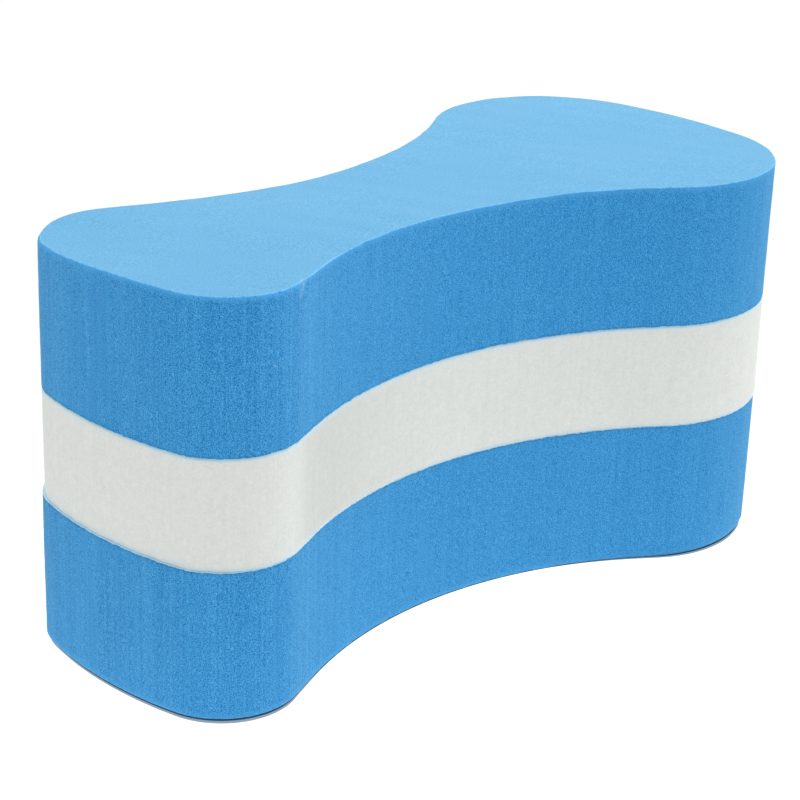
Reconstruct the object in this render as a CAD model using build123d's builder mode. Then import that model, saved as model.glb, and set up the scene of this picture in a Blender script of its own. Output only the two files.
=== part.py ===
"""Laminated foam pull buoy: three foam blocks and the two glue films between them.

The float stands on its flat bottom face. The origin is at the bottom, in the middle of
the length and of the width, with +X towards the large lobe and +Z up. Millimetres.
"""

from build123d import *

import math
import os

# Driving dimensions
LENGTH = 240.0
LARGE_LOBE_WIDTH = 115.0
SMALL_LOBE_WIDTH = 87.0
WAIST_WIDTH = 50.0
# The narrowest point is nearer the small lobe.
SMALL_END_TO_WAIST = 98.5

# Radii of the arcs that make the outline, seen from above
WAIST_RADIUS = 132.0
LARGE_CORNER_RADIUS = 39.5
SMALL_CORNER_RADIUS = 22.0
LARGE_END_RADIUS = 160.0
SMALL_END_RADIUS = 120.0

# The layers' heights, measured to the middle of the glue between them
OUTER_LAYER = 44.0
CORE_LAYER = 32.0
GLUE_FILM = 0.25

# The rims of the bottom and top faces are rounded.
RIM_RADIUS = 1.0
# The glue stops just short of the cut wall.
GLUE_SETBACK = 0.5

# Where the outline's main points lie along the length
SMALL_END = -LENGTH / 2
LARGE_END = LENGTH / 2
WAIST = SMALL_END + SMALL_END_TO_WAIST

# The sheets are thinner than their layers by their share of the glue.
OUTER_SHEET = OUTER_LAYER - GLUE_FILM / 2
CORE_SHEET = CORE_LAYER - GLUE_FILM

# The heights of the bottom faces of the pieces that stand on others
LOWER_GLUE_BASE = OUTER_SHEET
CORE_BASE = LOWER_GLUE_BASE + GLUE_FILM
UPPER_GLUE_BASE = CORE_BASE + CORE_SHEET
UPPER_BLOCK_BASE = UPPER_GLUE_BASE + GLUE_FILM


def along(start, angle, distance):
    """The point that lies a distance from start, in the direction of angle in radians."""
    return (start[0] + distance * math.cos(angle), start[1] + distance * math.sin(angle))


def lobe_points(end, width, corner_radius, end_radius):
    """The points on one lobe's upper half where its arcs start, finish and turn.

    The end arc is centred on the long axis and the corner arc lies inside it, touching it.
    A straight flank leaves the corner arc and touches the waist arc.
    """
    side = math.copysign(1.0, end)
    corner_y = width / 2 - corner_radius
    end_centre = (abs(end) - end_radius, 0.0)
    reach = math.sqrt((end_radius - corner_radius) ** 2 - corner_y**2)
    corner_centre = (end_centre[0] + reach, corner_y)
    waist_centre = (side * WAIST, WAIST_WIDTH / 2 + WAIST_RADIUS)

    end_angle = math.atan2(corner_y, reach)
    across = waist_centre[0] - corner_centre[0]
    up = waist_centre[1] - corner_centre[1]
    spread = math.acos((WAIST_RADIUS + corner_radius) / math.hypot(across, up))
    flank_angle = math.atan2(up, across) - spread

    points = {
        "end_tip": (abs(end), 0.0),
        "end_middle": along(end_centre, end_angle / 2, end_radius),
        "end_stop": along(end_centre, end_angle, end_radius),
        "corner_middle": along(corner_centre, (end_angle + flank_angle) / 2, corner_radius),
        "corner_stop": along(corner_centre, flank_angle, corner_radius),
        "waist_stop": along(waist_centre, flank_angle, -WAIST_RADIUS),
    }
    return {name: (side * x, y) for name, (x, y) in points.items()}


large = lobe_points(LARGE_END, LARGE_LOBE_WIDTH, LARGE_CORNER_RADIUS, LARGE_END_RADIUS)
small = lobe_points(SMALL_END, SMALL_LOBE_WIDTH, SMALL_CORNER_RADIUS, SMALL_END_RADIUS)

# The outline that all the layers are cut to
with BuildSketch(Plane.XY) as outline:
    with BuildLine():
        for lobe in (large, small):
            ThreePointArc(lobe["end_tip"], lobe["end_middle"], lobe["end_stop"])
            ThreePointArc(lobe["end_stop"], lobe["corner_middle"], lobe["corner_stop"])
            Line(lobe["corner_stop"], lobe["waist_stop"])
        ThreePointArc(large["waist_stop"], (WAIST, WAIST_WIDTH / 2), small["waist_stop"])
        mirror(about=Plane.XZ)
    make_face()

# The outline that the glue covers
with BuildSketch(Plane.XY) as glue_outline:
    add(outline.sketch)
    offset(amount=-GLUE_SETBACK)

with BuildPart() as lower_foam_block:
    with BuildSketch(Plane.XY):
        add(outline.sketch)
    extrude(amount=OUTER_SHEET)
    fillet(lower_foam_block.faces().sort_by(Axis.Z)[0].edges(), radius=RIM_RADIUS)
lower_foam_block.part.label = "lower_foam_block"

with BuildPart() as lower_glue_film:
    with BuildSketch(Plane.XY.offset(LOWER_GLUE_BASE)):
        add(glue_outline.sketch)
    extrude(amount=GLUE_FILM)
lower_glue_film.part.label = "lower_glue_film"

with BuildPart() as middle_foam_block:
    with BuildSketch(Plane.XY.offset(CORE_BASE)):
        add(outline.sketch)
    extrude(amount=CORE_SHEET)
middle_foam_block.part.label = "middle_foam_block"

with BuildPart() as upper_glue_film:
    with BuildSketch(Plane.XY.offset(UPPER_GLUE_BASE)):
        add(glue_outline.sketch)
    extrude(amount=GLUE_FILM)
upper_glue_film.part.label = "upper_glue_film"

with BuildPart() as upper_foam_block:
    with BuildSketch(Plane.XY.offset(UPPER_BLOCK_BASE)):
        add(outline.sketch)
    extrude(amount=OUTER_SHEET)
    fillet(upper_foam_block.faces().sort_by(Axis.Z)[-1].edges(), radius=RIM_RADIUS)
upper_foam_block.part.label = "upper_foam_block"

os.makedirs("parts", exist_ok=True)
for piece in (
    lower_foam_block,
    lower_glue_film,
    middle_foam_block,
    upper_glue_film,
    upper_foam_block,
):
    export_step(piece.part, f"parts/{piece.part.label}.step")
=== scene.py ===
"""Looks of the laminated foam pull buoy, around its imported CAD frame.

Three foam blocks and the two glue lines between them are rebuilt as fine meshes. Their cut
walls are slightly wavy and their seams ragged. The top rim is sharp along the waist and
softer at the ends, two of its corners droop, and the lower block's ends lift off the table.
Everything is in metres, in the frame's own axes: +X towards the large lobe, +Z up.
"""

import math

import bpy
import numpy as np
from mathutils import Matrix, Vector
from mathutils.geometry import delaunay_2d_cdt


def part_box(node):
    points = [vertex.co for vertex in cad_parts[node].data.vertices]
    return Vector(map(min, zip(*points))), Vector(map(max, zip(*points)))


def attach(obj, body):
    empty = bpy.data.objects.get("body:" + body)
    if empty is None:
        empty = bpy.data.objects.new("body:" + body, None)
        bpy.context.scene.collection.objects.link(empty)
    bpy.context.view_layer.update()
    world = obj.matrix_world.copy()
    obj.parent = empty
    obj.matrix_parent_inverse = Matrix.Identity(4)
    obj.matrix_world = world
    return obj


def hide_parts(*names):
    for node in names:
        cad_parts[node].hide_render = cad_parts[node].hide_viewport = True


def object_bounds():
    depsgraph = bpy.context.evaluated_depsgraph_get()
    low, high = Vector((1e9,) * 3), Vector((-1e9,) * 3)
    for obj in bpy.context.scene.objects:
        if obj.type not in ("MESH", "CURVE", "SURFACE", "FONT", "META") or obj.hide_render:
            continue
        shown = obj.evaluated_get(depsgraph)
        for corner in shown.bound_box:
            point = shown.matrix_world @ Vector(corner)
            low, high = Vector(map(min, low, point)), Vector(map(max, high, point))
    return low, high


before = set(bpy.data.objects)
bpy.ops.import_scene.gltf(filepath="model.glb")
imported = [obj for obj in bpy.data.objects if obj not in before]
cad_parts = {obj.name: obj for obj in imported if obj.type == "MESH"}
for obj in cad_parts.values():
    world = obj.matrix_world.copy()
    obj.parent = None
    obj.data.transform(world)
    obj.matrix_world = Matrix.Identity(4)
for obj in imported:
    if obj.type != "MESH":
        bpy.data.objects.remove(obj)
cad_low, cad_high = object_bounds()

MM = 0.001

# The outline's driving sizes, as on the CAD blocks
SMALL_LOBE_WIDTH = 87 * MM
WAIST_WIDTH = 50 * MM
SMALL_END_TO_WAIST = 98.5 * MM
WAIST_RADIUS = 132 * MM
LARGE_CORNER_RADIUS = 39.5 * MM
SMALL_CORNER_RADIUS = 22 * MM
LARGE_END_RADIUS = 160 * MM
SMALL_END_RADIUS = 120 * MM

core_low, core_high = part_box("middle_foam_block")
LARGE_LOBE_WIDTH = core_high.y - core_low.y
SMALL_END = core_low.x
LARGE_END = core_high.x
WAIST = SMALL_END + SMALL_END_TO_WAIST
HEIGHT = cad_high.z
LOWER_SEAM = (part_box("lower_foam_block")[1].z + core_low.z) / 2
UPPER_SEAM = (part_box("upper_foam_block")[0].z + core_high.z) / 2
GLUE_FILM = core_low.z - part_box("lower_foam_block")[1].z

# Mesh spacing
WALL_STEP = 1.0 * MM
ARC_STEP = WALL_STEP / 8
FEWEST_ARC_POINTS = 8
OPEN_CAP_STEP = 2.4 * MM
HIDDEN_CAP_STEP = 9 * MM
CAP_CLEARANCE = 0.7
RIM_RINGS = 6
EDGE_RINGS = 5
FACE_RINGS = 0.25 * MM, 0.6 * MM, 1.4 * MM
SAME_POINT = 1e-9

# Rims and edges
RIM_EDGE = 0.3 * MM
SHARP_ROUNDING = 0.3 * MM
SOFT_ROUNDING = 2.6 * MM
LARGE_LOBE_SOFTNESS = 0.35
ROUNDING_UNEVENNESS = 0.12
ROUNDING_WAVELENGTH = 22 * MM
ROUNDING_TURN = math.radians(40)
SEAM_EDGE = 0.03 * MM

# How far the real foam departs from the plain block
TOP_DROP = 0.25 * MM
FAR_DROOP = 1.7 * MM
NEAR_DROOP = 0.35 * MM
SMALL_END_LIFT = 0.7 * MM
LARGE_END_LIFT = 1.5 * MM
CORE_SETBACK = 0.06 * MM
GLUE_SETBACK = 0.02 * MM
SMALL_END_LEAN = 0.4 * MM
LOWER_FLARE = 0.25 * MM
UPPER_FLARE = 0.3 * MM
CORE_FLARE = 0.4 * MM
DENT_DEPTH = 0.5 * MM
LOWER_SEAM_SHIFT = 0.05 * MM
UPPER_SEAM_SHIFT = 0.12 * MM
LOWER_SEAM_TILT = 0.0005
UPPER_SEAM_TILT = 0.003

# Where it does: distances from the middle towards a lobe at which a departure begins and is
# full, heights above the table or depths below the top, and places on the rim
SMALL_SOFT_RIM = 78 * MM, 94 * MM
LARGE_SOFT_RIM = 90 * MM, 110 * MM
SMALL_FLARED = 85 * MM, 118 * MM
LARGE_FLARED = 70 * MM, 118 * MM
SMALL_LIFTED = 55 * MM, 95 * MM
LARGE_LIFTED = 45 * MM, 118 * MM
LIFTED_HEIGHTS = 1 * MM, 12 * MM
WAVED_DEPTHS = 6 * MM, 1 * MM
FAR_CORNER = np.array([-118, 38]) * MM
FAR_CORNER_SPREAD = 28 * MM
NEAR_CORNER = np.array([-95, -42]) * MM
NEAR_CORNER_SPREAD = 24 * MM
DENT = np.array([-84.5, -40.6, 118.2]) * MM
DENT_SPREAD = 2 * MM

# Unevenness, as a height and a wavelength. The wall's ripples are tall and narrow.
WALL_WAVE = 0.06 * MM, 75 * MM
WALL_RIPPLE = 0.03 * MM, 6 * MM * np.array([1, 1, 4])
CELL_ROUGHNESS = 0.015 * MM, 2.6 * MM
FACE_WAVE = 0.12 * MM, 60 * MM
FACE_RIPPLE = 0.03 * MM, 14 * MM
SEAM_RAGGEDNESS = 0.05 * MM, 2.5 * MM
GLUE_UNEVENNESS = 0.03 * MM, 4 * MM


# ---------------------------------------------------------------- smooth random fields


def waves(points, wavelength, seed, count=14):
    """A smooth random field with a standard deviation of one, the same on every run.

    It is a sum of plane waves, so it has no seams. wavelength is one length, or one each
    for x, y and z.
    """
    rng = np.random.default_rng(seed)
    directions = rng.normal(size=(count, 3))
    directions /= np.linalg.norm(directions, axis=1)[:, None]
    stretch = rng.uniform(0.7, 1.4, count)[:, None]
    numbers = 2 * math.pi * directions * stretch / np.broadcast_to(wavelength, 3)
    phases = rng.uniform(0, 2 * math.pi, count)
    return np.cos(points @ numbers.T + phases).sum(axis=1) * math.sqrt(2 / count)


def uneven(points, unevenness, seed, count=14):
    """A smooth random field of a given (height, wavelength)."""
    height, wavelength = unevenness
    return height * waves(points, wavelength, seed, count)


# ---------------------------------------------------------------- the outline


def lobe_arcs(side, width, corner_radius, end_radius):
    """One lobe's upper half as (centre, radius, first angle, last angle) of its arcs.

    Angles are those of the outward normal, so the hollow waist arc has a negative radius.
    The lobe is worked out as if it lay towards +X.
    """
    end = LARGE_END if side > 0 else -SMALL_END
    corner_y = width / 2 - corner_radius
    end_x = end - end_radius
    reach = math.sqrt((end_radius - corner_radius) ** 2 - corner_y**2)
    corner = np.array([end_x + reach, corner_y])
    waist = np.array([side * WAIST, WAIST_WIDTH / 2 + WAIST_RADIUS])
    across, up = waist - corner
    spread = math.acos((WAIST_RADIUS + corner_radius) / math.hypot(across, up))
    flank_angle = math.atan2(up, across) - spread
    end_angle = math.atan2(corner_y, reach)
    return [
        (np.array([end_x, 0.0]), end_radius, 0.0, end_angle),
        (corner, corner_radius, end_angle, flank_angle),
        (waist, -WAIST_RADIUS, flank_angle, math.pi / 2),
    ]


def sample_lobe(arcs):
    """Closely spaced points and normal angles along a lobe's half, from tip to waist.

    The straight flank is the gap between the corner arc and the waist arc.
    """
    points, angles = [], []
    for centre, radius, first, last in arcs:
        count = max(FEWEST_ARC_POINTS, round(abs(radius * (last - first)) / ARC_STEP))
        turn = np.linspace(first, last, count)
        points.append(centre + radius * np.column_stack([np.cos(turn), np.sin(turn)]))
        angles.append(turn)
    return np.vstack(points), np.concatenate(angles)


def closed_outline():
    """Evenly spaced points round the whole outline, with their outward normals.

    Point 0 is the large lobe's tip. The second half mirrors the first in the XZ plane.
    """
    large, large_angle = sample_lobe(
        lobe_arcs(1, LARGE_LOBE_WIDTH, LARGE_CORNER_RADIUS, LARGE_END_RADIUS))
    small, small_angle = sample_lobe(
        lobe_arcs(-1, SMALL_LOBE_WIDTH, SMALL_CORNER_RADIUS, SMALL_END_RADIUS))
    half = np.vstack([large, small[::-1] * [-1, 1]])
    angle = np.concatenate([large_angle, math.pi - small_angle[::-1]])

    run = np.concatenate([[0], np.cumsum(np.linalg.norm(np.diff(half, axis=0), axis=1))])
    even = np.linspace(0, run[-1], round(run[-1] / WALL_STEP) + 1)
    x, y, turn = (np.interp(even, run, values) for values in (half[:, 0], half[:, 1], angle))
    x = np.concatenate([x, x[-2:0:-1]])
    y = np.concatenate([y, -y[-2:0:-1]])
    turn = np.concatenate([turn, -turn[-2:0:-1]])
    return np.column_stack([x, y]), np.column_stack([np.cos(turn), np.sin(turn)])


OUTLINE, NORMALS = closed_outline()
COLUMNS = len(OUTLINE)
ON_OUTLINE = np.column_stack([OUTLINE, np.zeros(COLUMNS)])


# ---------------------------------------------------------------- the blocks' shape


def hill(distance, width):
    """A smooth hill of height one at distance zero."""
    return np.exp(-((distance / width) ** 2))


def slope(values, start, finish):
    """A smooth rise from zero at start to one at finish."""
    share = np.clip((values - start) / (finish - start), 0, 1)
    return share * share * (3 - 2 * share)


def on_small_lobe(points, stretch):
    """A smooth rise to one over a stretch of the small lobe, counted from the middle."""
    return slope(-points[:, 0], *stretch)


def on_large_lobe(points, stretch):
    """A smooth rise to one over a stretch of the large lobe, counted from the middle."""
    return slope(points[:, 0], *stretch)


def rounding():
    """The radius on which the wall leans in under the top edge: large at the lobes' ends."""
    soft = on_small_lobe(OUTLINE, SMALL_SOFT_RIM)
    soft += LARGE_LOBE_SOFTNESS * on_large_lobe(OUTLINE, LARGE_SOFT_RIM)
    evenness = 1 + ROUNDING_UNEVENNESS * waves(ON_OUTLINE, ROUNDING_WAVELENGTH, seed=11)
    return (SHARP_ROUNDING + (SOFT_ROUNDING - SHARP_ROUNDING) * soft) * evenness


def seam_height(height, tilt, seed):
    """A seam's height at each column: a little tilted, and ragged."""
    return height + tilt * OUTLINE[:, 0] + uneven(ON_OUTLINE, SEAM_RAGGEDNESS, seed, count=40)


def wall_offset(points):
    """How far the cut wall stands proud of the plain outline at each point."""
    wave = uneven(points, WALL_WAVE, seed=21)
    ripple = uneven(points, WALL_RIPPLE, seed=22, count=30)
    cells = uneven(points, CELL_ROUGHNESS, seed=23, count=60)
    return wave + ripple + cells


def lower_flare(points):
    """The lower block stands proud at the small lobe's end."""
    return LOWER_FLARE * on_small_lobe(points, SMALL_FLARED)


def core_flare(points):
    """The core stands proud at the large lobe's end and a little back at the small one's."""
    large = on_large_lobe(points, LARGE_FLARED)
    small = on_small_lobe(points, SMALL_FLARED)
    return CORE_FLARE * large - SMALL_END_LEAN * small


def upper_flare(points):
    """The upper block's ends lie as the core's do, and its near rim has a dent."""
    large = on_large_lobe(points, LARGE_FLARED)
    small = on_small_lobe(points, SMALL_FLARED)
    dent = DENT_DEPTH * hill(np.linalg.norm(points - DENT, axis=1), DENT_SPREAD)
    return UPPER_FLARE * large - SMALL_END_LEAN * small - dent


def edge_rings(rounding_radius, edge_radius):
    """A wall's way round an edge and onto the flat face, as (depth, inset, down) for each ring.

    Depth is below the face, and down is the way along the surface from the face's edge,
    which is negative on the face. The wall first leans in on the rounding's radius, by
    ROUNDING_TURN at most, and then turns onto the face on the edge's radius.
    """
    lean = math.sin(ROUNDING_TURN), 1 - math.cos(ROUNDING_TURN)
    shallow = edge_radius * (1 - lean[0])
    narrow = edge_radius * (1 - lean[1])
    depth = shallow + rounding_radius * lean[0]
    inset = narrow + rounding_radius * lean[1]
    way = edge_radius * (math.pi / 2 - ROUNDING_TURN)
    rings = []
    for turn in np.linspace(0, ROUNDING_TURN, RIM_RINGS):
        down = way + rounding_radius * (ROUNDING_TURN - turn)
        rings.append((
            depth - rounding_radius * math.sin(turn),
            rounding_radius * (1 - math.cos(turn)),
            down,
        ))
    for turn in np.linspace(ROUNDING_TURN, math.pi / 2, EDGE_RINGS)[1:]:
        rings.append((
            edge_radius * (1 - math.sin(turn)),
            inset - edge_radius * math.cos(turn),
            edge_radius * (math.pi / 2 - turn),
        ))
    for further in FACE_RINGS:
        rings.append((0 * inset, inset + further, -further + 0 * inset))
    return rings


def wall_rings(bottom, top, bottom_edge, top_edge):
    """A block's rings from its bottom face to its top face, as (height, inset, down) each.

    bottom_edge and top_edge are the radii that edge_rings takes. Down is from the nearer
    face.
    """
    below, above = edge_rings(*bottom_edge), edge_rings(*top_edge)
    low, high = bottom + below[0][0], top - above[0][0]
    rows = max(1, round(float(np.mean(high - low)) / WALL_STEP))
    rings = [(bottom + depth, inset, down) for depth, inset, down in reversed(below)]
    for share in np.linspace(0, 1, rows + 1)[1:-1]:
        height = low + (high - low) * share
        down = np.minimum(height - low + below[0][2], high - height + above[0][2])
        rings.append((height, 0 * low, down))
    return rings + [(top - depth, inset, down) for depth, inset, down in above]


def inside(points, ring):
    """Which points lie inside the closed ring."""
    result = np.zeros(len(points), bool)
    for (x1, y1), (x2, y2) in zip(ring, np.roll(ring, -1, axis=0)):
        crosses = (y1 > points[:, 1]) != (y2 > points[:, 1])
        if crosses.any():
            at = x1 + (points[:, 1] - y1) / (y2 - y1) * (x2 - x1)
            result ^= crosses & (points[:, 0] < at)
    return result


def cap_points(ring, step):
    """Points on a triangular lattice inside the ring, clear of its edge by most of a step."""
    low, high = ring.min(axis=0), ring.max(axis=0)
    rows = np.arange(low[1], high[1], step * math.sqrt(3) / 2)
    lattice = []
    for number, y in enumerate(rows):
        xs = np.arange(low[0] + (number % 2) * step / 2, high[0], step)
        lattice.append(np.column_stack([xs, np.full(len(xs), y)]))
    lattice = np.vstack(lattice)
    lattice = lattice[inside(lattice, ring)]
    nearest = np.min(np.linalg.norm(lattice[:, None] - ring[None, ::2], axis=2), axis=1)
    return lattice[nearest > CAP_CLEARANCE * step]


def cap_triangles(ring, inner):
    """Triangles over the ring and the inner points, counter-clockwise from above."""
    points = [Vector(p) for p in np.vstack([ring, inner])]
    edges = [(i, (i + 1) % len(ring)) for i in range(len(ring))]
    _, _, faces, origins, _, _ = delaunay_2d_cdt(points, edges, [], 1, SAME_POINT)
    return [[origins[v][0] for v in face] for face in faces]


def end_lift(points):
    """How far the lower block's ends curl up off the table."""
    weight = 1 - slope(points[:, 2], *LIFTED_HEIGHTS)
    small_end = SMALL_END_LIFT * on_small_lobe(points, SMALL_LIFTED)
    large_end = LARGE_END_LIFT * on_large_lobe(points, LARGE_LIFTED)
    return weight * (small_end + large_end)


def droop(points, corner, depth, spread):
    """How far the top sinks round one of its corners."""
    return depth * hill(np.hypot(*(points[:, :2] - corner).T), spread)


def top_wave(points):
    """How much the top face and its rim lie off their plane."""
    weight = slope(points[:, 2], HEIGHT - WAVED_DEPTHS[0], HEIGHT - WAVED_DEPTHS[1])
    flat = points * [1, 1, 0]
    wave = uneven(flat, FACE_WAVE, seed=31) + uneven(flat, FACE_RIPPLE, seed=32)
    far_corner = droop(points, FAR_CORNER, FAR_DROOP, FAR_CORNER_SPREAD)
    near_corner = droop(points, NEAR_CORNER, NEAR_DROOP, NEAR_CORNER_SPREAD)
    return weight * (wave - far_corner - near_corner)


def faces_between(ring_count):
    """Quads from each ring of columns to the next, as point numbers."""
    column = np.arange(COLUMNS)
    after = np.roll(column, -1)
    quads = np.column_stack([column, after, after + COLUMNS, column + COLUMNS])
    return [face for row in range(ring_count - 1) for face in (quads + row * COLUMNS).tolist()]


def mesh_object(name, points, faces, **attributes):
    """A new object in the scene, whose attributes hold one value per point."""
    mesh = bpy.data.meshes.new(name)
    mesh.from_pydata(points.tolist(), [], faces)
    for key, values in attributes.items():
        attribute = mesh.attributes.new(key, "FLOAT", "POINT")
        attribute.data.foreach_set("value", values.astype(np.float32))
    item = bpy.data.objects.new(name, mesh)
    bpy.context.scene.collection.objects.link(item)
    return item


def build_block(name, rings, setback, cap_steps, flare, warp=None):
    """A closed mesh object from a block's rings, with a cap of triangles at each end.

    cap_steps is the spacing of the bottom and of the top cap's inner points. flare moves
    the wall outwards, and warp moves every point upwards. The materials read the point
    attribute "down", the way along the surface from the edge of the nearer face.
    """
    points, downs, faces = [], [], faces_between(len(rings))
    for height, inset, down in rings:
        ring = np.column_stack([OUTLINE - NORMALS * (inset + setback)[:, None], height])
        offset = wall_offset(ring) + flare(ring)
        ring[:, :2] += NORMALS * offset[:, None]
        points.append(ring)
        downs.append(down)

    count = len(rings) * COLUMNS
    for row, step in ((0, cap_steps[0]), (len(rings) - 1, cap_steps[1])):
        ring = points[row]
        inner = cap_points(ring[:, :2], step)
        for face in cap_triangles(ring[:, :2], inner):
            corners = [v + row * COLUMNS if v < COLUMNS else v - COLUMNS + count for v in face]
            faces.append(corners if row else corners[::-1])
        points.append(np.column_stack([inner, np.full(len(inner), ring[:, 2].mean())]))
        downs.append(np.full(len(inner), -OPEN_CAP_STEP))
        count += len(inner)

    points = np.vstack(points)
    if warp:
        points[:, 2] += warp(points)
    block = mesh_object(name, points, faces, down=np.concatenate(downs))
    block.data.polygons.foreach_set("use_smooth", [True] * len(block.data.polygons))
    block.data.update()
    return block


EVERYWHERE = np.ones(COLUMNS)
lower_seam = seam_height(LOWER_SEAM + LOWER_SEAM_SHIFT, LOWER_SEAM_TILT, seed=41)
upper_seam = seam_height(UPPER_SEAM + UPPER_SEAM_SHIFT, UPPER_SEAM_TILT, seed=43)
half_film = GLUE_FILM / 2

sharp = (SHARP_ROUNDING * EVERYWHERE, RIM_EDGE * EVERYWHERE)
seam_edge = (0 * EVERYWHERE, SEAM_EDGE * EVERYWHERE)
soft_top = (rounding(), RIM_EDGE * EVERYWHERE)

lower_block = build_block(
    "lower_block",
    wall_rings(0 * EVERYWHERE, lower_seam - half_film, sharp, seam_edge),
    0 * EVERYWHERE, (OPEN_CAP_STEP, HIDDEN_CAP_STEP), lower_flare, end_lift)
core_block = build_block(
    "core_block",
    wall_rings(lower_seam + half_film, upper_seam - half_film, seam_edge, seam_edge),
    CORE_SETBACK * EVERYWHERE, (HIDDEN_CAP_STEP, HIDDEN_CAP_STEP), core_flare)
upper_block = build_block(
    "upper_block",
    wall_rings(upper_seam + half_film, (HEIGHT - TOP_DROP) * EVERYWHERE, seam_edge, soft_top),
    0 * EVERYWHERE, (HIDDEN_CAP_STEP, OPEN_CAP_STEP), upper_flare, top_wave)


def glue_line(name, seam, seed):
    """The glue between two blocks, with an uneven edge almost flush with the core."""
    rings = wall_rings(seam - half_film, seam + half_film, seam_edge, seam_edge)
    unevenness = uneven(ON_OUTLINE, GLUE_UNEVENNESS, seed, count=30)
    setback = CORE_SETBACK + GLUE_SETBACK + unevenness
    return build_block(name, rings, setback, (HIDDEN_CAP_STEP, HIDDEN_CAP_STEP), core_flare)


lower_glue = glue_line("lower_glue_line", lower_seam, seed=51)
upper_glue = glue_line("upper_glue_line", upper_seam, seed=52)


# ---------------------------------------------------------------- materials


# Colours of the blue foam. A level of one adds BLUE_STEP.
CUT_BLUE = 0.040, 0.330, 0.725, 1
SKIN_BLUE = 0.055, 0.337, 0.615, 1
BLUE_STEP = 0.012, 0.030, 0.036
# The frayed band is partly real fraying and partly a painted highlight; the lip is a painted
# highlight
FRAYED_HIGHLIT_BLUE = 0.085, 0.42, 0.86, 1
LIP_HIGHLIGHT_BLUE = 0.23, 0.66, 1.0, 1
SEAM_BLUE = 0.05, 0.27, 0.52, 1
# A painted highlight on the seams' edges, as light caught by the blocks' ledges
SEAM_HIGHLIGHT_BLUE = 0.50, 0.80, 1.0, 1
DUST = 0.45, 0.68, 0.85, 1
BLUE_PORE = 0.02, 0.12, 0.30, 1
SCUFF = 0.36, 0.62, 0.82, 1

# Colours of the white foam, the glue and the floor
CORE_WHITE = 0.788, 0.818, 0.785
# Bluer white next to the seams
SEAM_TINT_WHITE = 0.69, 0.81, 0.86, 1
# A painted highlight on the white next to the seams, lightening the shade over the lower block's
# ledge
LOWER_EDGE_HIGHLIGHT_WHITE = 0.83, 0.97, 1.0, 1
UPPER_EDGE_WHITE = 0.62, 0.89, 1.0, 1
BLUE_FLECK = 0.30, 0.52, 0.72, 1
WHITE_PORE = 0.40, 0.46, 0.48, 1
DEEP_GLUE = 0.46, 0.76, 1.0, 1
PALE_GLUE = 0.60, 0.87, 1.0, 1
HALF_SHADOW = 0.28, 0.36, 0.44, 1
CONTACT_SHADOW = 0.012, 0.055, 0.13, 1

# Distances from mid-height over which the seams end and the rims begin
PAST_SEAMS = 25 * MM, 35 * MM
NEAR_RIMS = 45 * MM, 55 * MM

# How far noise moves the edges of the tinted bands at the seams and at the rims
SEAM_STRAY = 0.6 * MM
RIM_STRAY = 0.5 * MM

# Stretches along X: the small lobe's streaky wall, and the core's parts painted greyer as shade
STREAKY_WALL = -90 * MM, -50 * MM
PAINTED_SHADE_BEGINS = -92 * MM, -76 * MM
PAINTED_SHADE_ENDS = -76 * MM, -8 * MM
PAINTED_SHADE_LARGE_END = 106 * MM, 118 * MM

# Pale worn spots on the blue foam: place in mm, radius in mm, strength
SCUFFS = [
    ((-85.0, -40.8, 118.4), 2.2, 0.5),
    ((-86.9, -41.4, 116.6), 2.2, 0.32),
    ((-83.6, -40.2, 119.2), 0.9, 0.5),
    ((-97.1, -43.4, 100.0), 0.5, 0.9),
]

# A scratch is a broken row of such spots, at these shares of the way along it.
SCRATCH_START = np.array([-111.3, -36.9, 37.3])
SCRATCH_END = np.array([-113.9, -33.8, 26.4])
SCRATCH_SHARES = 0.0, 0.14, 0.27, 0.43, 0.6, 0.74, 1.0
SCRATCH_RADIUS = 0.45
SCRATCH_STRENGTH = 0.7
SCUFFS += [
    (tuple(SCRATCH_START + (SCRATCH_END - SCRATCH_START) * share), SCRATCH_RADIUS, SCRATCH_STRENGTH)
    for share in SCRATCH_SHARES
]


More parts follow.
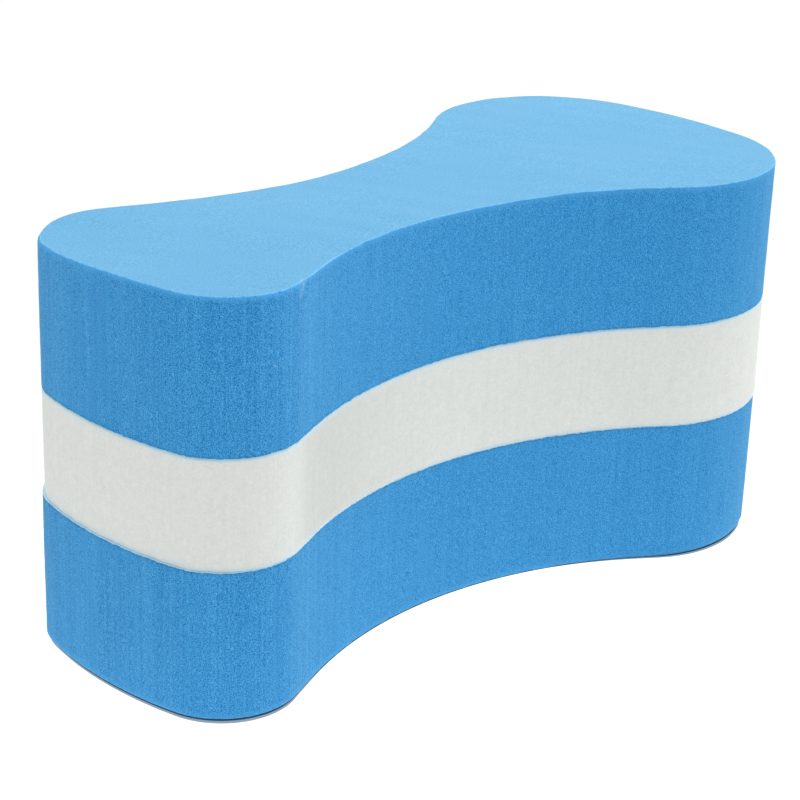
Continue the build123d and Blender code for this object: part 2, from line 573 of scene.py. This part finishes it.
class Shader:
    """A material being built, with short calls for the nodes that it uses."""

    def __init__(self, name):
        self.material = bpy.data.materials.new(name)
        self.material.use_nodes = True
        self.tree = self.material.node_tree
        self.surface = self.tree.nodes["Principled BSDF"]
        self.place = self.add("ShaderNodeTexCoord").outputs["Object"]
        self.east, _, self.height = self.separate(self.place)
        self.outer = self.math("ABSOLUTE", self.math("SUBTRACT", self.height, HEIGHT / 2))
        normal = self.add("ShaderNodeNewGeometry").outputs["Normal"]
        self.upward = self.separate(normal)[2]
        self.down = self.attribute("down")

    def add(self, kind, inputs=None, **settings):
        """A new node, whose inputs are linked if they are sockets and set if they are values."""
        node = self.tree.nodes.new(kind)
        for key, value in settings.items():
            setattr(node, key, value)
        for key, value in (inputs or {}).items():
            if isinstance(value, bpy.types.NodeSocket):
                self.tree.links.new(value, node.inputs[key])
            else:
                node.inputs[key].default_value = value
        return node

    def attribute(self, name):
        return self.add("ShaderNodeAttribute", attribute_name=name).outputs["Fac"]

    def separate(self, vector):
        return self.add("ShaderNodeSeparateXYZ", {0: vector}).outputs

    def math(self, operation, *values):
        return self.add("ShaderNodeMath", dict(enumerate(values)), operation=operation).outputs[0]

    def times(self, first, *others):
        """The product of sockets and numbers."""
        product = first
        for other in others:
            product = self.math("MULTIPLY", product, other)
        return product

    def sum(self, *terms):
        """The sum of (value, weight) pairs and of plain sockets or numbers."""
        total = None
        for term in terms:
            value = self.times(*term) if isinstance(term, tuple) else term
            total = value if total is None else self.math("ADD", total, value)
        return total

    def ramp(self, value, start, finish, low=0.0, high=1.0):
        """A smooth change from low at start to high at finish."""
        inputs = {0: value, 1: start, 2: finish, 3: low, 4: high}
        node = self.add("ShaderNodeMapRange", inputs, interpolation_type="SMOOTHSTEP")
        return node.outputs[0]

    def stretched(self, scale):
        """The place with each axis scaled, for noise that is longer one way."""
        inputs = {0: self.place, 1: scale}
        return self.add("ShaderNodeVectorMath", inputs, operation="MULTIPLY").outputs[0]

    def noise(self, scale, detail=2.0, roughness=0.5, place=None):
        """Noise about zero, from about -0.5 to 0.5. scale is in features per metre."""
        inputs = {
            "Vector": place or self.place,
            "Scale": scale,
            "Detail": detail,
            "Roughness": roughness,
        }
        value = self.add("ShaderNodeTexNoise", inputs).outputs["Fac"]
        return self.math("SUBTRACT", value, 0.5)

    def away_from(self, point):
        inputs = {0: self.place, 1: point}
        return self.add("ShaderNodeVectorMath", inputs, operation="DISTANCE").outputs["Value"]

    def blend(self, share, first, second):
        """The first colour at a share of zero and the second at one."""
        inputs = {0: share, 6: first, 7: second}
        return self.add("ShaderNodeMix", inputs, data_type="RGBA").outputs[2]

    def scaled(self, colour, amount):
        """A colour times an amount."""
        inputs = {0: colour, "Scale": amount}
        return self.add("ShaderNodeVectorMath", inputs, operation="SCALE").outputs[0]

    def shifted(self, colour, step, amount):
        """A colour plus a step of colour times an amount."""
        inputs = {0: colour, 1: self.scaled(step, amount)}
        return self.add("ShaderNodeVectorMath", inputs, operation="ADD").outputs[0]

    def near_seams(self, reach, start=0.0, stray=0.0):
        """One up to start from either seam, falling to zero at reach from it.

        stray is how far noise moves those distances. The rims are left out by counting
        them a metre away.
        """
        away = self.sum(self.down, (self.noise(1000), stray), self.ramp(self.outer, *PAST_SEAMS))
        return self.ramp(away, start, reach, low=1.0, high=0.0)

    def specks(self, density, radius, first, last):
        """Round specks in those cells whose random number is from first to last.

        density is in cells per metre.
        """
        cells = self.add("ShaderNodeTexVoronoi", {"Vector": self.place, "Scale": density}).outputs
        chance = self.separate(cells["Color"])[0]
        chosen = self.times(
            self.math("GREATER_THAN", chance, first),
            self.math("LESS_THAN", chance, last),
        )
        full, gone = radius * 0.5 * density, radius * density
        return self.times(chosen, self.ramp(cells["Distance"], full, gone, low=1.0, high=0.0))

    def link(self, value, name):
        """Links a value to one of the surface's inputs."""
        self.tree.links.new(value, self.surface.inputs[name])

    def bump(self, height, distance):
        """Makes the surface look uneven. A height of one stands for the distance."""
        inputs = {"Height": height, "Distance": distance}
        self.link(self.add("ShaderNodeBump", inputs).outputs[0], "Normal")


def blue_foam():
    """Sky-blue closed-cell foam, streaked and grainy where it is cut, smoother on its skin."""
    s = Shader("blue_foam")
    edge = s.sum(s.down, (s.noise(1100), RIM_STRAY))
    flat = s.ramp(s.math("ABSOLUTE", s.upward), 0.55, 0.75)
    skin = s.times(s.ramp(edge, -0.12 * MM, 0.12 * MM, low=1.0, high=0.0), flat)
    cut = s.math("SUBTRACT", 1.0, skin)
    grain = s.noise(3600, detail=1.0, roughness=0.6)
    lumps = s.noise(700)
    streaks = s.noise(1.0, place=s.stretched((1000, 1000, 12)))

    level = blue_level(s, skin, cut, grain, lumps, streaks)
    colour = s.shifted(s.blend(skin, CUT_BLUE, SKIN_BLUE), BLUE_STEP, level)
    # Frayed rims painted paler as a highlight, with a painted highlight on the lip
    colour = frayed_and_highlit_rims(s, colour, edge, cut)
    ragged = s.times(s.near_seams(reach=1.0 * MM), s.ramp(s.noise(900), -0.2, 0.2))
    colour = s.blend(s.times(ragged, 0.35), colour, SEAM_BLUE)
    # A painted highlight on the edges at the seams, as light caught by the ledges
    seam_highlight = s.near_seams(reach=0.10 * MM, start=0.04 * MM, stray=SEAM_STRAY)
    colour = s.blend(seam_highlight, colour, SEAM_HIGHLIGHT_BLUE)
    colour = worn_marks(s, colour, cut)
    s.link(colour, "Base Color")

    s.surface.inputs["Sheen Weight"].default_value = 0.16
    s.surface.inputs["Sheen Tint"].default_value = (0.5, 1.0, 0.85, 1)
    s.surface.inputs["Sheen Roughness"].default_value = 0.35
    level_rough = s.ramp(skin, 0.0, 1.0, low=0.95, high=0.50)
    rough = s.sum(level_rough, (lumps, 0.15), (grain, 0.10))
    s.link(rough, "Roughness")
    relief = s.sum((grain, 1.0), (lumps, 0.6), (streaks, 0.5))
    s.bump(s.times(relief, s.ramp(skin, 0.0, 1.0, low=1.0, high=0.12)), 0.25 * MM)
    return s.material


def blue_level(s, skin, cut, grain, lumps, streaks):
    """How light the blue foam is, in steps. The streaks are plainer round the small lobe."""
    skin_grain = s.noise(2200, detail=1.0, roughness=0.6)
    broad = s.noise(1.0, detail=1.0, place=s.stretched((180, 180, 7)))
    mottle = s.noise(38)
    plain = s.ramp(s.east, *STREAKY_WALL, low=1.0, high=0.5)
    upright = s.times(s.sum((streaks, 4.4), (broad, 1.6)), plain)
    fine = s.times(grain, s.ramp(s.east, *STREAKY_WALL, low=30.0, high=25.0))
    on_wall = s.sum(fine, (lumps, 1.6), upright, (mottle, 0.8))
    on_skin = s.sum((skin_grain, 12.0), (lumps, 1.5), (mottle, 0.8))
    return s.sum(s.times(on_wall, cut), s.times(on_skin, skin))


def frayed_and_highlit_rims(s, colour, edge, cut):
    """The cut is frayed just under the faces' edges and painted paler there as a highlight,
    brightest on the lip.
    """
    patchy = s.ramp(s.noise(800), -0.25, 0.1, low=0.4, high=1.0)
    ragged = s.times(patchy, s.ramp(s.outer, *NEAR_RIMS))
    fray_and_highlight = s.times(s.ramp(edge, 0.5 * MM, 2.4 * MM, low=0.7, high=0.0), ragged)
    lip_highlight = s.times(s.ramp(edge, 0.2 * MM, 0.6 * MM, low=0.75, high=0.0), ragged)
    colour = s.blend(s.times(fray_and_highlight, cut), colour, FRAYED_HIGHLIT_BLUE)
    return s.blend(s.times(lip_highlight, cut), colour, LIP_HIGHLIGHT_BLUE)


def worn_marks(s, colour, cut):
    """Specks of pale dust and open pores on the walls, and the scuffs and the scratch."""
    dust = s.specks(density=260, radius=0.24 * MM, first=0.96, last=1.0)
    pores = s.specks(density=230, radius=0.28 * MM, first=0.0, last=0.03)
    colour = s.blend(s.times(dust, cut, 0.6), colour, DUST)
    colour = s.blend(s.times(pores, cut, 0.6), colour, BLUE_PORE)
    for place, radius, strength in SCUFFS:
        away = s.away_from([c * MM for c in place])
        patch = s.ramp(away, radius * 0.2 * MM, radius * MM, low=strength, high=0.0)
        patch = s.times(patch, s.ramp(s.noise(900), -0.3, 0.15))
        colour = s.blend(patch, colour, SCUFF)
    return colour


def white_foam():
    """Off-white closed-cell foam, painted a little greyer in parts as shade, with blue tints and a
    painted highlight at the seams.
    """
    s = Shader("white_foam")
    grain = s.noise(1300, detail=1.5, roughness=0.6)
    lumps = s.noise(430)
    streaks = s.noise(1.0, detail=1.0, place=s.stretched((900, 900, 12)))
    mottle = s.noise(45)
    tone = s.sum(1.0, (grain, 0.19), (lumps, 0.10), (streaks, 0.05), (mottle, 0.035))
    colour = s.scaled(CORE_WHITE, tone)
    # Painted shade: the core is greyer where the waist begins and at the large lobe's end, dimming
    # the light that falls there.
    waist = s.times(s.ramp(s.east, *PAINTED_SHADE_BEGINS), s.ramp(s.east, *PAINTED_SHADE_ENDS, low=1.0, high=0.0))
    painted_shade = s.sum((waist, 0.14), (s.ramp(s.east, *PAINTED_SHADE_LARGE_END), 0.08))
    colour = s.scaled(colour, s.math("SUBTRACT", 1.0, painted_shade))
    colour = tinted_seams(s, colour)
    pores = s.specks(density=240, radius=0.22 * MM, first=0.0, last=0.04)
    colour = s.blend(s.times(pores, 0.25), colour, WHITE_PORE)
    s.link(colour, "Base Color")
    s.link(s.sum(0.88, (lumps, 0.2), (grain, 0.15)), "Roughness")
    s.bump(s.sum((grain, 1.0), (lumps, 0.7), (streaks, 0.4)), 0.12 * MM)
    return s.material


def tinted_seams(s, colour):
    """Blue tints and flecks next to the seams, and a painted highlight on the white over the lower
    block's ledge. The upper seam's edge is the bluer one.
    """
    above = s.ramp(s.height, HEIGHT / 2 - 5 * MM, HEIGHT / 2 + 5 * MM)
    upper_edge = s.near_seams(reach=0.65 * MM, start=0.25 * MM, stray=SEAM_STRAY)
    lower_edge_highlight = s.near_seams(reach=0.55 * MM, start=0.15 * MM, stray=SEAM_STRAY)
    # The white is tinted bluer within 2.4 mm of the seams
    seam_tint = s.near_seams(reach=2.4 * MM)
    colour = s.blend(s.times(seam_tint, 0.35), colour, SEAM_TINT_WHITE)
    # A painted highlight on the white next to the seams, lightening the shade over the lower
    # block's ledge
    colour = s.blend(s.times(lower_edge_highlight, 0.85), colour, LOWER_EDGE_HIGHLIGHT_WHITE)
    colour = s.blend(s.times(upper_edge, above), colour, UPPER_EDGE_WHITE)
    flecks = s.specks(density=420, radius=0.3 * MM, first=0.80, last=1.0)
    flecks = s.times(flecks, s.near_seams(reach=4.5 * MM))
    return s.blend(s.times(flecks, 0.4), colour, BLUE_FLECK)


def glue():
    """Clear contact adhesive, milky and slightly tinted by the blue foam next to it."""
    s = Shader("glue")
    smear = s.noise(260, detail=3.0)
    fine = s.noise(1200)
    colour = s.blend(s.ramp(smear, -0.25, 0.25), DEEP_GLUE, PALE_GLUE)
    s.link(s.scaled(colour, s.sum(1.0, (fine, 0.3))), "Base Color")
    s.link(s.sum(0.55, (smear, 0.4)), "Roughness")
    s.bump(fine, 0.1 * MM)
    return s.material


blue, white, film = blue_foam(), white_foam(), glue()
for piece, node, slot, material in (
    (lower_block, "lower_foam_block", "blue_foam", blue),
    (core_block, "middle_foam_block", "white_foam", white),
    (upper_block, "upper_foam_block", "blue_foam", blue),
    (lower_glue, "lower_glue_film", "glue", film),
    (upper_glue, "upper_glue_film", "glue", film),
):
    piece.data.materials.append(material)
    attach(piece, "root")
    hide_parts(node)


# ---------------------------------------------------------------- the stage


FLOOR_DROP = 0.05 * MM
NEAR_GLOW = 1.24
FAR_GLOW = 1.02

# Rings of the contact shadow: how far out, in widths of the shadow, and how dark
CONTACT_RINGS = (-4, 1.0), (0.05, 1.0), (0.3, 0.5), (0.8, 0.5), (1.1, 0.0)
# Rings of the glow: how far outside the float, and how much of the near glow is left
GLOW_RINGS = (0.02, 0.8), (0.06, 0.45), (0.11, 0.15), (0.17, 0.0), (8.0, 0.0)

# The contact shadow's width: a thin line all round, and more on one side of each lobe
THIN_SHADOW = 0.12 * MM
SMALL_SHADOW = 1.7 * MM
SMALL_SHADOW_SIDE = np.array([-0.62, -0.78])
SMALL_SHADOWED = 60 * MM, 90 * MM
LARGE_SHADOW = 1.2 * MM
LARGE_SHADOW_SIDE = np.array([-0.3, -0.95])
LARGE_SHADOWED = 20 * MM, 70 * MM
LARGE_SHADOW_THINS = 80 * MM, 100 * MM
LARGE_SHADOW_THINNING = 0.7
SIDE_SHARPNESS = 1.5

# How far the shadow lies under the lifted ends
SHADOW_UNDER_LOBES = 0.6 * MM
UNDER_LOBES = 60 * MM, 90 * MM
SHADOW_UNDER_LARGE_END = 1.6 * MM
UNDER_LARGE_END = 95 * MM, 112 * MM


def facing(side):
    """How squarely each column's wall faces a side, from zero to one."""
    return np.clip(NORMALS @ side, 0, 1) ** SIDE_SHARPNESS


def contact_rings():
    """The outline of the float's foot, repeated outwards across the contact shadow."""
    small_lobe = SMALL_SHADOW * on_small_lobe(OUTLINE, SMALL_SHADOWED) * facing(SMALL_SHADOW_SIDE)
    large_lobe = LARGE_SHADOW * on_large_lobe(OUTLINE, LARGE_SHADOWED) * facing(LARGE_SHADOW_SIDE)
    large_lobe *= 1 - LARGE_SHADOW_THINNING * on_large_lobe(OUTLINE, LARGE_SHADOW_THINS)
    width = THIN_SHADOW + small_lobe + large_lobe
    under = SHADOW_UNDER_LOBES * slope(abs(OUTLINE[:, 0]), *UNDER_LOBES)
    under += SHADOW_UNDER_LARGE_END * on_large_lobe(OUTLINE, UNDER_LARGE_END)
    return [OUTLINE + NORMALS * (width * share - under)[:, None] for share, _ in CONTACT_RINGS]


def glow_rings():
    """Ellipses round the float, with the outline's columns, out to the floor's far edge."""
    angle = np.arctan2(OUTLINE[:, 1], OUTLINE[:, 0])
    outward = np.column_stack([np.cos(angle), np.sin(angle)])
    rings = []
    for distance, _ in GLOW_RINGS:
        long, wide = LARGE_END + distance, LARGE_LOBE_WIDTH / 2 + distance
        reach = long * wide / np.hypot(wide * np.cos(angle), long * np.sin(angle))
        rings.append(outward * reach[:, None])
    return rings


def build_floor():
    """One sheet of all the rings, with the point attributes shade and glow."""
    rings = contact_rings() + glow_rings()
    shade = [level for _, level in CONTACT_RINGS] + [0.0] * len(GLOW_RINGS)
    glow = [NEAR_GLOW] * len(CONTACT_RINGS)
    glow += [FAR_GLOW + (NEAR_GLOW - FAR_GLOW) * level for _, level in GLOW_RINGS]
    points = np.vstack([np.column_stack([r, np.full(COLUMNS, -FLOOR_DROP)]) for r in rings])
    faces = [list(range(COLUMNS))] + faces_between(len(rings))
    shade, glow = np.repeat(shade, COLUMNS), np.repeat(glow, COLUMNS)
    return mesh_object("floor", points, faces, shade=shade, glow=glow)


def floor_light():
    """A white that glows by itself, with the dark contact shadow."""
    s = Shader("floor")
    shadow = s.attribute("shade")
    colour = s.scaled((1.0, 1.0, 1.0), s.attribute("glow"))
    colour = s.blend(s.ramp(shadow, 0.0, 0.5), colour, HALF_SHADOW)
    colour = s.blend(s.ramp(shadow, 0.5, 1.0), colour, CONTACT_SHADOW)
    s.surface.inputs["Base Color"].default_value = (0, 0, 0, 1)
    s.surface.inputs["Specular IOR Level"].default_value = 0.0
    s.surface.inputs["Roughness"].default_value = 1.0
    s.surface.inputs["Emission Strength"].default_value = 1.0
    s.link(colour, "Emission Color")
    return s.material


table = build_floor()
table.data.materials.append(floor_light())


def softbox(name, place, size, power):
    """A square area light that faces the middle of the float."""
    light = bpy.data.lights.new(name, "AREA")
    light.shape = "SQUARE"
    light.size = size
    light.energy = power
    box = bpy.data.objects.new(name, light)
    box.location = place
    box.visible_camera = False
    towards = Vector((0, 0, HEIGHT / 2)) - Vector(place)
    box.rotation_euler = towards.to_track_quat("-Z", "Y").to_euler()
    bpy.context.scene.collection.objects.link(box)


softbox("overhead", (0.25, 0.15, 1.5), size=1.2, power=13)
softbox("right", (1.5, -0.5, 0.7), size=1.0, power=6.5)
softbox("back", (1.45, 1.45, 0.95), size=2.3, power=9.5)

world = bpy.data.worlds.new("studio")
bpy.context.scene.world = world
world.use_nodes = True
world.node_tree.nodes["Background"].inputs["Color"].default_value = (1, 1, 1, 1)
world.node_tree.nodes["Background"].inputs["Strength"].default_value = 0.64
bpy.context.scene.view_settings.view_transform = "Standard"


# ---------------------------------------------------------------- the camera


# The photograph's viewpoint. The azimuth turns from a view along +Y, towards +X.
CAMERA_PLACE = Vector((-455.44, -438.46, 304.49)) * MM
CAMERA_AZIMUTH = math.radians(-45.625)
CAMERA_ELEVATION = math.radians(21.783)
CAMERA_ROLL = math.radians(1.857)
FOCAL_LENGTH = 101.585
SENSOR_WIDTH = 36


def camera_axes():
    """The camera's right, up and backward directions."""
    back = Vector((
        math.sin(CAMERA_AZIMUTH) * math.cos(CAMERA_ELEVATION),
        -math.cos(CAMERA_AZIMUTH) * math.cos(CAMERA_ELEVATION),
        math.sin(CAMERA_ELEVATION),
    ))
    right = (-back).cross(Vector((0, 0, 1))).normalized()
    up = right.cross(-back)
    return (
        math.cos(CAMERA_ROLL) * right + math.sin(CAMERA_ROLL) * up,
        math.cos(CAMERA_ROLL) * up - math.sin(CAMERA_ROLL) * right,
        back,
    )


lens = bpy.data.cameras.new("camera")
lens.sensor_width = SENSOR_WIDTH
lens.lens = FOCAL_LENGTH
lens.clip_start = 0.01
camera = bpy.data.objects.new("camera", lens)
rotation = Matrix(camera_axes()).transposed().to_4x4()
camera.matrix_world = Matrix.Translation(CAMERA_PLACE) @ rotation
bpy.context.scene.collection.objects.link(camera)
bpy.context.scene.camera = camera
